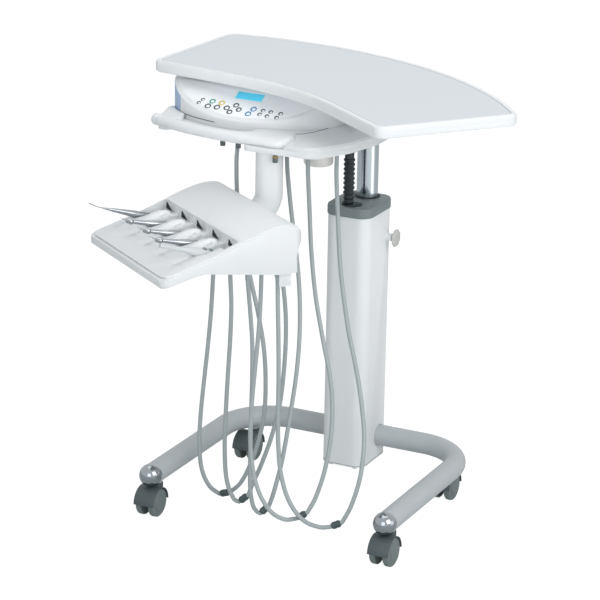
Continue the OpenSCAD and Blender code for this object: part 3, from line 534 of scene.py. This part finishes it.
def tube(name, path, diameter, widths=None):
    """A round tube along the path, as a mesh. widths scale its radius from point to point."""
    line = bpy.data.curves.new(name, "CURVE")
    line.dimensions = "3D"
    line.bevel_depth = diameter / 2
    line.bevel_resolution = 4
    line.use_fill_caps = True
    run = line.splines.new("POLY")
    run.points.add(len(path) - 1)
    for i, (point, spot) in enumerate(zip(run.points, path)):
        point.co = (*spot, 1)
        point.radius = widths[i] if widths else 1.0
    piece = bpy.data.objects.new(name, line)
    bpy.context.scene.collection.objects.link(piece)
    select_only(piece)
    bpy.ops.object.convert(target="MESH")
    bpy.ops.object.shade_smooth_by_angle(angle=math.radians(50))
    return bpy.context.object


# ---- operators, one for each group of pieces ----
class DENTAL_OT_stage(bpy.types.Operator):
    """Pale floor, soft studio lamps and the camera"""

    bl_idname = "dental.stage"
    bl_label = "Stage"

    lens = 168.6
    station = Vector((2376.0, -5131.2, 2277.4))  # camera, in mm from the middle of the base's crossbar
    right = Vector((0.89505, 0.44567, 0.01626))
    up = Vector((-0.15549, 0.27769, 0.94800))

    def execute(self, context):
        data = bpy.data.cameras.new("photo_camera")
        data.lens = self.lens
        data.sensor_width = 36
        data.clip_end = 60
        camera = bpy.data.objects.new("photo_camera", data)
        context.scene.collection.objects.link(camera)
        back = self.right.cross(self.up)
        turn = Matrix((self.right, self.up, back)).transposed().to_4x4()
        camera.matrix_world = Matrix.Translation(place(*self.station)) @ turn
        context.scene.camera = camera
        self.floor()
        # each lamp's place in the frame and its width in metres, and its watts
        self.lamp("key", (3.1, -1.4, 2.3), 2.4, 58, "#FFFFFF")
        self.lamp("top", (-0.3, 0.3, 3.4), 2.6, 25, "#FBFDFF")
        self.lamp("fill", (0.7, -4.1, 1.5), 2.4, 30, "#F4F9FF")
        # a narrow beam under the table's edge, on the key panel
        head = self.lamp("under_table_fill", (0.1, -1.0, 0.84), 0.3, 0.06, "#FFFFFF",
                         aim=(-0.15, -0.1, 0.82), spread=26)
        head.visible_glossy = False
        # a card beside the column that shows in the mast's polish alone
        strip = self.lamp("strip", (1.19, 0.03, 0.34), 0.6, 1.1, "#FFFFFF", aim=(0.02, 0.25, 0.6))
        strip.visible_diffuse = False
        self.surroundings(context)
        context.scene.view_settings.view_transform = "Standard"
        return {"FINISHED"}

    def floor(self):
        bpy.ops.object.select_all(action="DESELECT")
        bpy.ops.mesh.primitive_plane_add(size=60, location=(0, 0, -0.0005))
        plane = bpy.context.object
        plane.name = "studio_floor"
        paint = bpy.data.materials.new("white_floor")
        paint.use_nodes = True
        tree = paint.node_tree
        shader = tree.nodes["Principled BSDF"]
        shader.inputs["Base Color"].default_value = hex_colour("#E2E4E4")
        shader.inputs["Roughness"].default_value = 0.8
        path = add_node(tree, "ShaderNodeLightPath")
        seen = add_node(tree, "ShaderNodeEmission", Strength=0.93)
        soft = add_node(tree, "ShaderNodeBsdfDiffuse", Color=hex_colour("#7A7B7B"))
        both = add_node(tree, "ShaderNodeAddShader")
        tree.links.new(soft.outputs[0], both.inputs[0])
        tree.links.new(seen.outputs[0], both.inputs[1])
        pick = add_node(tree, "ShaderNodeMixShader", {"Fac": path.outputs["Is Camera Ray"]})
        tree.links.new(shader.outputs[0], pick.inputs[1])
        tree.links.new(both.outputs[0], pick.inputs[2])
        tree.links.new(pick.outputs[0], tree.nodes["Material Output"].inputs["Surface"])
        plane.data.materials.append(paint)

    def lamp(self, name, spot, size, power, colour, aim=(0, 0, 0.5), spread=180):
        """A square lamp that the camera doesn't see, turned to aim. spread is its beam in degrees."""
        data = bpy.data.lights.new(name, "AREA")
        data.shape = "SQUARE"
        data.size = size
        data.energy = power
        data.color = hex_colour(colour)[:3]
        data.spread = math.radians(spread)
        lamp = bpy.data.objects.new(name, data)
        bpy.context.scene.collection.objects.link(lamp)
        ahead = Vector(aim) - Vector(spot)
        turn = ahead.to_track_quat("-Z", "Y").to_matrix().to_4x4()
        lamp.matrix_world = Matrix.Translation(Vector(spot)) @ turn
        lamp.visible_camera = False
        return lamp

    def surroundings(self, context):
        """White behind the unit, and a paler grey room for the light that falls on it."""
        world = bpy.data.worlds.new("studio")
        world.use_nodes = True
        tree = world.node_tree
        path = add_node(tree, "ShaderNodeLightPath")
        mirror = add_node(tree, "ShaderNodeMath", {0: path.outputs["Is Glossy Ray"]}, operation="MAXIMUM")
        tree.links.new(path.outputs["Is Transmission Ray"], mirror.inputs[1])
        clear = add_node(tree, "ShaderNodeMath", {0: path.outputs["Is Camera Ray"]}, operation="MAXIMUM")
        tree.links.new(mirror.outputs[0], clear.inputs[1])
        room = add_node(tree, "ShaderNodeBackground", Color=hex_colour("#F2F5F7"), Strength=0.5)
        white = add_node(tree, "ShaderNodeBackground", Color=(1, 1, 1, 1), Strength=1.0)
        pick = add_node(tree, "ShaderNodeMixShader", {"Fac": clear.outputs[0]})
        tree.links.new(room.outputs[0], pick.inputs[1])
        tree.links.new(white.outputs[0], pick.inputs[2])
        tree.links.new(pick.outputs[0], tree.nodes["World Output"].inputs["Surface"])
        context.scene.world = world


class DENTAL_OT_hoses(bpy.types.Operator):
    """Five handpiece hoses, each in two stretches with a coupler between them"""

    bl_idname = "dental.hoses"
    bl_label = "Hoses and couplers"

    profile_diameter = 15  # what the coupler's profile is drawn for, in mm
    profile = [(4.9, 0), (6.2, 0.8), (6.2, 2.6), (7.5, 3.2), (7.5, 8.6), (6.9, 9.2), (6.9, 10.8), (7.5, 11.4),
               (7.5, 16.8), (6.2, 17.4), (6.2, 19.2), (4.9, 20)]

    def execute(self, context):
        wide = settings().hose_diameter
        thick = settings().coupler_diameter / (self.profile_diameter * MM)
        couplers = []
        for k in range(5):
            n = k + 1
            coupler = turned(f"hose_coupler_{n}", self.profile, place(*coupler_end(k, -1)), COUPLER_DIR[k],
                             sides=32, wide=thick, high=thick)
            dress(coupler, "holder", acetal())
            couplers.append(coupler)
            upper_path = smooth_path(upper_points(k)[::-1])
            upper = tube(f"hose_upper_{n}_run", upper_path, wide)
            dress_plain(upper, silicone())
            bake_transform(upper)
            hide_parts(f"hose_upper_{n}")
            lower_path = smooth_path(lower_points(k)[::-1])
            lower = tube(f"hose_lower_{n}_run", lower_path, wide)
            dress_plain(lower, silicone())
            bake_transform(lower)
            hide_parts(f"hose_lower_{n}")
        for coupler in couplers:
            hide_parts("hose_couplers")
        return {"FINISHED"}


def dress_plain(obj, material):
    """Material and slot for a piece that runs between two bodies and so rides on neither alone."""
    obj.data.materials.clear()
    obj.data.materials.append(material)


class DENTAL_OT_base(bpy.types.Operator):
    """Bent tube base with its bright end balls, and the castors"""

    bl_idname = "dental.base"
    bl_label = "Base and castors"

    def execute(self, context):
        soften("base_tube", base_paint())
        soften("ball_caps", chrome(), smooth=50)
        for corner in ("fl", "fr", "rl", "rr"):
            soften("castor_" + corner, castor_nylon(), 0.8 * MM)
            soften("wheels_" + corner, castor_disc(), 0.5 * MM)
        return {"FINISHED"}


class DENTAL_OT_column(bpy.types.Operator):
    """Column shell, cap, lock, mast and conduit"""

    bl_idname = "dental.column"
    bl_label = "Column"

    half_width, half_depth, corner, centre_y = 50.1, 65.1, 26.1, -20  # just outside the column's skin
    foot_z, seam_wide = 40, 0.9
    side_x, lock_y, lock_z = 50, 18, 528  # where the clamp screw leaves the column's side
    # the knob's disc and screw as [radius, height] along the screw, in mm
    disc = [(5.5, 14), (7, 14.6), (7.5, 16), (16.5, 16.4), (18.6, 17.2), (19.4, 18.6), (19.2, 20),
            (17.6, 21.4), (13, 22.4), (7, 23), (2, 23.1)]
    screw = [(3.7, 0), (4, 0.3), (4, 35), (3.7, 35.4)]
    screw_inside = 20  # how far the drawn screw reaches into the column
    scallops, scallop_depth, scalloped_from = 8, 0.035, 15  # count, share of the radius, radius

    def execute(self, context):
        soften("column_shell", powder_coat(), 0.8 * MM)
        soften("column_cap", nylon_grey(), 1.2 * MM, smooth=40)
        soften("bottom_plate", powder_coat(), 0.6 * MM)
        soften("base_bolts", zinc(), 0.6 * MM)
        soften("upper_bush", grommet_rubber(), 0.4 * MM)
        repaint("lower_bush", castor_nylon())
        repaint("lock_pad", grommet_rubber())
        self.knob()
        soften("mast_tube", ground_steel())
        soften("conduit", conduit_plastic(), 0.5 * MM, smooth=50)
        soften("conduit_collar", grommet_rubber(), 1.0 * MM)
        self.foot_seam()
        return {"FINISHED"}

    def foot_seam(self):
        """Thin dark joint round the column, above its bottom plate."""
        foot = []
        for across, along, start in ((1, 1, 0), (-1, 1, 90), (-1, -1, 180), (1, -1, 270)):
            for k in range(9):
                a = math.radians(start + k * 90 / 8)
                foot.append(place(across * (self.half_width - self.corner) + self.corner * math.cos(a),
                                  self.centre_y + along * (self.half_depth - self.corner)
                                  + self.corner * math.sin(a), self.foot_z))
        seam = tube("column_foot_seam", foot + foot[:1], self.seam_wide * MM)
        dress(seam, body_of("column_shell"), joint_grey())

    def knob(self):
        """Clamp knob: a thin domed disc with eight shallow scallops, on the clamp screw."""
        axis = place(self.side_x, self.lock_y, self.lock_z)
        disc = turned("lock_disc", self.disc, axis, (1, 0, 0), sides=64)
        for vertex in disc.data.vertices:
            y, z = vertex.co.y - axis.y, vertex.co.z - axis.z
            if math.hypot(y, z) > self.scalloped_from * MM:
                dip = 1 - self.scallop_depth * (1 + math.cos(self.scallops * math.atan2(z, y)))
                vertex.co.y, vertex.co.z = axis.y + y * dip, axis.z + z * dip
        dress(disc, body_of("lock_knob"), knob_nylon())
        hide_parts("lock_knob")
        screw = turned("lock_screw", self.screw, axis - Vector((self.screw_inside * MM, 0, 0)), (1, 0, 0))
        dress(screw, body_of("lock_knob"), zinc())
        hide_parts("lock_knob")


class DENTAL_OT_head(bpy.types.Operator):
    """Head with its console, keys, handle and the fittings beneath"""

    bl_idname = "dental.head"
    bl_label = "Head and console"

    slope = math.radians(30)
    # plan of the lobe, in mm from the base's crossbar: x, y and half width
    lobe_run = [(-184, -273.4, 12.6), (-165, -272.5, 15), (-146, -270, 20), (-127, -266, 27),
                (-108, -261, 34), (-90, -257, 39.5), (-74, -255, 41), (-61, -254, 38), (-51, -253.5, 30),
                (-45, -253, 20), (-42, -253, 9)]
    lobe_outline = [(-166, -312), (-20, -312), (-20, -190), (-166, -190)]  # what the swept lobe replaces
    cut_z, cut_high = 760, 60
    # the bar: an arc in plan about bar_centre, from and to these angles, at this height
    bar_centre, bar_arc, bar_from, bar_to, bar_z = (-138, 313.6), 589, -112.4, -95.5, 785
    bar_radius, half_height = 12.2, 12.6  # the lobe is flattened to the half height
    end_cap = [(12.3, 0), (12.3, 7), (11.6, 9.6), (10.3, 11.4), (9.6, 12), (9.2, 11.5), (8.8, 12.1),
               (4, 12.5), (0.5, 12.6)]
    console_x, console_y, console_half = -203, -81, (193.4, 120.4)  # just outside the console's foot
    window_right, window_rear = -350, -60  # the blue window covers the wall left of and before these
    # height and width of the painted shade lines along the gaps in the head, in mm
    seam_z, seam_wide = 787.1, 1.3
    seam_from, seam_step = 208, 2.4  # degrees round the console's foot
    face_y, face_z = -146.5, 828  # middle of the sloping face
    inks = {"grey": "#373C40", "green": "#1F9C8A", "yellow": "#D9C23A", "blue": "#1C7FB6"}
    # route of the painted shade line across the rear cover, x and y in mm
    cover_seam_shade = [(-63, -200), (-47, -187), (-34, -158), (-24, -123), (-17, -93), (-12, -60)]
    # keys on the face: along it, up the slope, diameter and ink
    key_spots = [(-70, -18, 14, "green"), (-48, -19, 14, "yellow"), (-74, -33, 14, "grey"),
                 (-53, -33, 14, "grey"), (-31, -31, 14, "grey"), (-14, -20, 13, "grey"),
                 (-3, -31, 13, "grey"), (-20, -41, 13, "grey"), (28, -24, 14, "blue"),
                 (22, -39, 14, "blue"), (-93, -17, 9, "grey"), (-98, -27, 9, "grey"),
                 (50, -24, 10, "grey"), (68, -25, 10, "grey"), (91, -26, 10, "grey"),
                 (47, -36, 10, "grey"), (65, -38, 10, "grey"), (87, -38, 10, "grey")]
    wide_key = 11  # keys wider than this have the larger rim
    collar = [(4.4, 0), (5.6, 0.6), (5.6, 3), (4.4, 3.6)]
    collar_at = (-66, -283, 757.5)  # round the foot of the fourth flow valve

    def execute(self, context):
        edge = settings().edge_round
        soften("under_pan", moulded_abs(), 2.0 * MM)
        soften("rear_cover", moulded_abs(), 0.7 * MM)
        console = soften("console_cover", moulded_abs(), edge, smooth=45)
        console.data.materials.append(blue_window())
        for face in console.data.polygons:
            spot = face.center / MM - PLAN
            if spot.x < self.window_right and spot.y < self.window_rear and abs(face.normal.z) < 0.4:
                face.material_index = 1
        soften("control_panel", overlay_film(), 0.3 * MM)
        soften("display", display_window(), 0.2 * MM)
        self.grab_bar()
        soften("head_hub", powder_coat(), 0.8 * MM)
        soften("hose_nipples", zinc(), 0.5 * MM)
        soften("filter_cup", cup_plastic(), 1.5 * MM)
        for i in range(1, 5):
            soften(f"flow_knob_{i}", zinc(), 0.4 * MM)
        self.keys()
        self.seam_shade()
        collar = turned("valve_collar", self.collar, place(*self.collar_at), (0, 0, 1))
        dress(collar, "valve_4", brass())
        return {"FINISHED"}

    def grab_bar(self):
        """The bar along the front, which widens into a flat rounded lobe at its right end."""
        lobe = plate("lobe_cut", self.lobe_outline, self.cut_high, place(0, 0, self.cut_z),
                     (1, 0, 0), (0, 1, 0))
        soften("handle", moulded_abs(), smooth=60, melt=2 * MM, cutter=lobe)
        run = []
        angle = self.bar_from
        while angle < self.bar_to:
            a = math.radians(angle)
            run.append((self.bar_centre[0] + self.bar_arc * math.cos(a),
                        self.bar_centre[1] + self.bar_arc * math.sin(a), self.bar_radius))
            angle += 1.0
        path, radii = [], []
        stations = run + self.lobe_run
        for (x, y, r), (nx, ny, nr) in zip(stations, stations[1:]):
            for j in range(4):
                path.append(place(x + (nx - x) * j / 4, y + (ny - y) * j / 4, self.bar_z))
                radii.append(r + (nr - r) * j / 4)
        path.append(place(stations[-1][0], stations[-1][1], self.bar_z))
        radii.append(stations[-1][2])
        bar = tube("grab_bar", path, 2 * MM, radii)
        centre, half = self.bar_z * MM, self.half_height * MM
        for vertex in bar.data.vertices:
            near = min(range(len(path)), key=lambda i: abs(path[i].x - vertex.co.x))
            tall = radii[near] * MM
            if tall > half:
                vertex.co.z = centre + (vertex.co.z - centre) * half / tall
        select_only(bar)
        even = bar.modifiers.new("even_mesh", "REMESH")
        even.mode = "VOXEL"
        even.voxel_size = 1.8 * MM
        bpy.ops.object.modifier_apply(modifier=even.name)
        flow = bar.modifiers.new("flowing_form", "SMOOTH")
        flow.iterations = 8
        bpy.ops.object.modifier_apply(modifier=flow.name)
        bpy.ops.object.shade_smooth_by_angle(angle=math.radians(60))
        dress(bar, "lift", moulded_abs())
        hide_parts("handle")
        end = turned("bar_end_cap", self.end_cap, path[0], path[0] - path[1])
        dress(end, "lift", moulded_abs())

    def seam_shade(self):
        """Painted shade: black lines across the rear cover beside the lobe, and along the foot of the
        console, where the gaps lie in shadow.
        """
        cover = smooth_path([Vector((x, y, self.seam_z)) for x, y in self.cover_seam_shade])
        foot = []
        for k in range(21):
            a = math.radians(self.seam_from + self.seam_step * k)
            foot.append(place(self.console_x + self.console_half[0] * math.cos(a),
                              self.console_y + self.console_half[1] * math.sin(a), self.seam_z))
        for name, path in (("cover_seam_shade", cover), ("console_foot_seam_shade", foot)):
            seam = tube(name, path, self.seam_wide * MM)
            dress(seam, "lift", painted_shade_black())

    def on_face(self, x, v, h):
        """A point on the sloping face: along it, up the slope and off it, in mm."""
        c, s = math.cos(self.slope), math.sin(self.slope)
        return place(self.console_x + x, self.face_y + v * c - h * s, self.face_z + v * s + h * c)

    def keys(self):
        away = Vector((0, -math.sin(self.slope), math.cos(self.slope)))
        rings, domes = {}, []
        for x, v, wide, ink in self.key_spots:
            r = wide / 2
            ring = turned("ring", [(r * 0.8, 0), (r, 0.2), (r, 0.55), (r * 0.8, 0.7)],
                          self.on_face(x, v, 1.2), away, sides=32)
            rings.setdefault(ink, []).append(ring)
            top = r - (3.0 if wide > self.wide_key else 2.0)
            shift = 0.7 if wide > self.wide_key else 1.3
            dome = [(top, 0), (top, 0.35), (top * 0.85, 0.75), (top * 0.5, 1.0), (top * 0.1, 1.1)]
            domes.append(turned("dome", dome, self.on_face(x + shift, v - shift, 1.7), away, sides=32))
        domes = dress(joined("key_domes", domes), "lift", overlay_film())
        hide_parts("panel_keys")
        for ink, group in rings.items():
            ring = dress(joined("key_rings_" + ink, group), "lift", ring_ink(ink, self.inks[ink]))
            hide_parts("panel_keys")


class DENTAL_OT_table(bpy.types.Operator):
    """Table rim and its inset sheet"""

    bl_idname = "dental.table"
    bl_label = "Table"

    joint = 0.9 * MM  # width of the dark line around the sheet

    def execute(self, context):
        # the rim's colour is painted light: a little brighter than the covers of the same plastic
        soften("table_frame", rim_abs_painted_light(), 2.0 * MM, smooth=40)
        sheet = soften("table_inlay", laminate(), 0.3 * MM)
        sheet.data.materials.append(joint_grey())
        top = max(face.center.z for face in sheet.data.polygons)
        select_only(sheet)
        bpy.ops.object.mode_set(mode="EDIT")
        bpy.ops.mesh.select_mode(type="FACE")
        bpy.ops.mesh.select_all(action="DESELECT")
        bpy.ops.object.mode_set(mode="OBJECT")
        level = [face.normal.z > 0.99 and top - face.center.z < 1e-5 for face in sheet.data.polygons]
        sheet.data.polygons.foreach_set("select", level)
        bpy.ops.object.mode_set(mode="EDIT")
        bpy.ops.mesh.inset(thickness=self.joint)
        bpy.ops.object.mode_set(mode="OBJECT")
        for face in sheet.data.polygons:
            if not face.select and face.normal.z > 0.99 and top - face.center.z < 1e-5:
                face.material_index = 1
        return {"FINISHED"}


class DENTAL_OT_holder(bpy.types.Operator):
    """Side arm and the instrument holder"""

    bl_idname = "dental.holder"
    bl_label = "Instrument holder"

    recess = [(146, 34), (171.5, 34), (171.5, 80), (140, 80), (140, 42)]  # rearward and up, in mm
    recess_left, recess_wide = -336, 322
    leaf = [(0.8, 0), (5, 6), (9, 16), (12.5, 30), (15, 46), (16.4, 62), (16, 74), (13.5, 84), (8.5, 91),
            (1.5, 94)]
    # each leaf stands this far beside a cradle's middle, from its foot to its head, rearward and up
    leaf_beside, leaf_foot, leaf_head, leaf_lean = 35, (68, 13), (160, 36), 2
    # a black plate of painted shade in each cradle's opening: its triangle across and up, and how far
    # rearward it stands, in mm
    opening = [(-11, 34), (16, 34), (-9, 47)]
    opening_rear = 173

    def execute(self, context):
        soften("side_arm", moulded_abs(), 0.8 * MM)
        recess = plate("recess", self.recess, self.recess_wide, in_holder(self.recess_left, 0, 0),
                       HOLD_REAR, (0, 0, 1))
        soften("holder_body", moulded_abs(), 1.2 * MM, smooth=38, cutter=recess)
        soften("hose_bracket", moulded_abs(), 0.5 * MM)
        for k in range(4):
            x = TROUGH_X[k] + self.leaf_beside
            foot = in_holder(x, *self.leaf_foot)
            head = in_holder(x + self.leaf_lean, *self.leaf_head)
            leaf = turned(f"divider_leaf_{k + 1}", self.leaf, foot, head - foot,
                          sides=40, wide=0.95, high=0.95)
            dress(leaf, "holder", moulded_abs())
        # each cradle's opening gets a flat black plate: painted shade where the pocket lies in shadow
        for k in range(5):
            gap = plate(f"cradle_opening_shade_{k + 1}", self.opening, 2,
                        in_holder(TROUGH_X[k], self.opening_rear, 0), HOLD_ACROSS, (0, 0, 1))
            dress(gap, "holder", painted_shade_black())
        return {"FINISHED"}


class DENTAL_OT_instruments(bpy.types.Operator):
    """Scaler, contra-angles and syringe in their cradles"""

    bl_idname = "dental.instruments"
    bl_label = "Instruments"

    def execute(self, context):
        soften("scaler", stainless(), 0.3 * MM)
        soften("scaler_tip", chrome())
        for i in range(1, 4):
            soften(f"handpiece_{i}", stainless(), 0.3 * MM)
        soften("syringe", syringe_shell(), 0.5 * MM)
        soften("air_button", nylon_grey(), 0.3 * MM)
        soften("water_button", nylon_grey(), 0.3 * MM)
        return {"FINISHED"}


class DENTAL_PT_panel(bpy.types.Panel):
    """Lists the steps that build the unit's pieces"""

    bl_idname = "DENTAL_PT_panel"
    bl_label = "Dental Unit"
    bl_space_type = "VIEW_3D"
    bl_region_type = "UI"
    bl_category = "Dental Unit"

    def draw(self, context):
        for name in DentalUnitSettings.__annotations__:
            self.layout.prop(context.scene.dental_unit, name)
        for step in STEPS:
            self.layout.operator(step.bl_idname)


STEPS = (DENTAL_OT_stage, DENTAL_OT_instruments, DENTAL_OT_hoses, DENTAL_OT_base, DENTAL_OT_column,
         DENTAL_OT_head, DENTAL_OT_table, DENTAL_OT_holder)
CLASSES = (DentalUnitSettings,) + STEPS + (DENTAL_PT_panel,)


def register():
    for kind in CLASSES:
        bpy.utils.register_class(kind)
    bpy.types.Scene.dental_unit = bpy.props.PointerProperty(type=DentalUnitSettings)


def unregister():
    del bpy.types.Scene.dental_unit
    for kind in reversed(CLASSES):
        bpy.utils.unregister_class(kind)


def main():
    register()
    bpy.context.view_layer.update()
    bpy.ops.dental.stage()
    bpy.ops.dental.instruments()
    bpy.ops.dental.hoses()
    bpy.ops.dental.base()
    bpy.ops.dental.column()
    bpy.ops.dental.head()
    bpy.ops.dental.table()
    bpy.ops.dental.holder()


if __name__ == "__main__":
    main()
